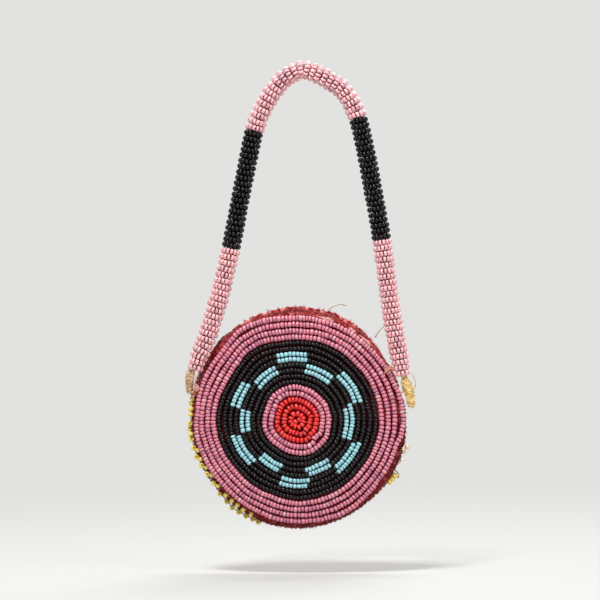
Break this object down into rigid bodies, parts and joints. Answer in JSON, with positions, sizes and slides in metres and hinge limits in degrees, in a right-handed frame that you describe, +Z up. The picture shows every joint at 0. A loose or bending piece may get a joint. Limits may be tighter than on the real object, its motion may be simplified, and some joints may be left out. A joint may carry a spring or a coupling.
{
  "type": "beaded watch pouch",
  "caption": "Round domed watch pouch of beaded wool cloth with an open mouth, a lined pocket and a bead-wrapped carrying strap that swings on hide ties.",
  "frame": {"origin": "inner face of the strap's arch at its highest point, where the pouch hangs from a peg", "axes": "+Z up along the hanging strap, the beaded front faces -Y, +X to the viewer's right"},
  "size_m": [0.0769, 0.0177, 0.1559],
  "materials": {
    "red_glass": "gloss",
    "rose_glass": "gloss",
    "pale_rose_glass": "gloss",
    "black_glass": "gloss",
    "yellow_glass": "gloss",
    "red_wool": "matte",
    "hide": "matte",
    "sinew": "matte",
    "cord": "matte"
  },
  "bodies": {
    "strap": {"strap_cord": "cord", "left_rose_sleeve": "pale_rose_glass", "left_black_sleeve": "black_glass", "top_rose_sleeve": "pale_rose_glass", "right_black_sleeve": "black_glass", "right_rose_sleeve": "pale_rose_glass", "left_tie": "hide", "right_tie": "hide"},
    "pouch": {"front_cloth": "red_wool", "back_cloth": "red_wool", "front_lining": "hide", "back_lining": "hide", "centre_bead": "red_glass", "red_lane_1": "red_glass", "red_lane_2": "red_glass", "red_lane_3": "red_glass", "inner_rose_lane_1": "rose_glass", "inner_rose_lane_2": "rose_glass", "inner_black_lane_1": "black_glass", "inner_black_lane_2": "black_glass", "inner_dash_lane_1": "black_glass", "inner_dash_lane_2": "black_glass", "outer_dash_lane_1": "black_glass", "outer_dash_lane_2": "black_glass", "outer_black_lane_1": "black_glass", "outer_black_lane_2": "black_glass", "outer_rose_lane_1": "rose_glass", "outer_rose_lane_2": "rose_glass", "outer_rose_lane_3": "rose_glass", "outer_rose_lane_4": "rose_glass", "yellow_edging": "yellow_glass", "right_edging": "yellow_glass", "left_thong": "hide", "right_thong": "hide", "mouth_sinew": "sinew", "side_sinew": "sinew"}
  },
  "joints": [
    {"name": "pouch_swing", "type": "hinge", "parent": "strap", "child": "pouch", "pos_m": [0, 0, -0.1048], "axis": [1, 0, 0], "range_deg": [-140, 90]}
  ]
}
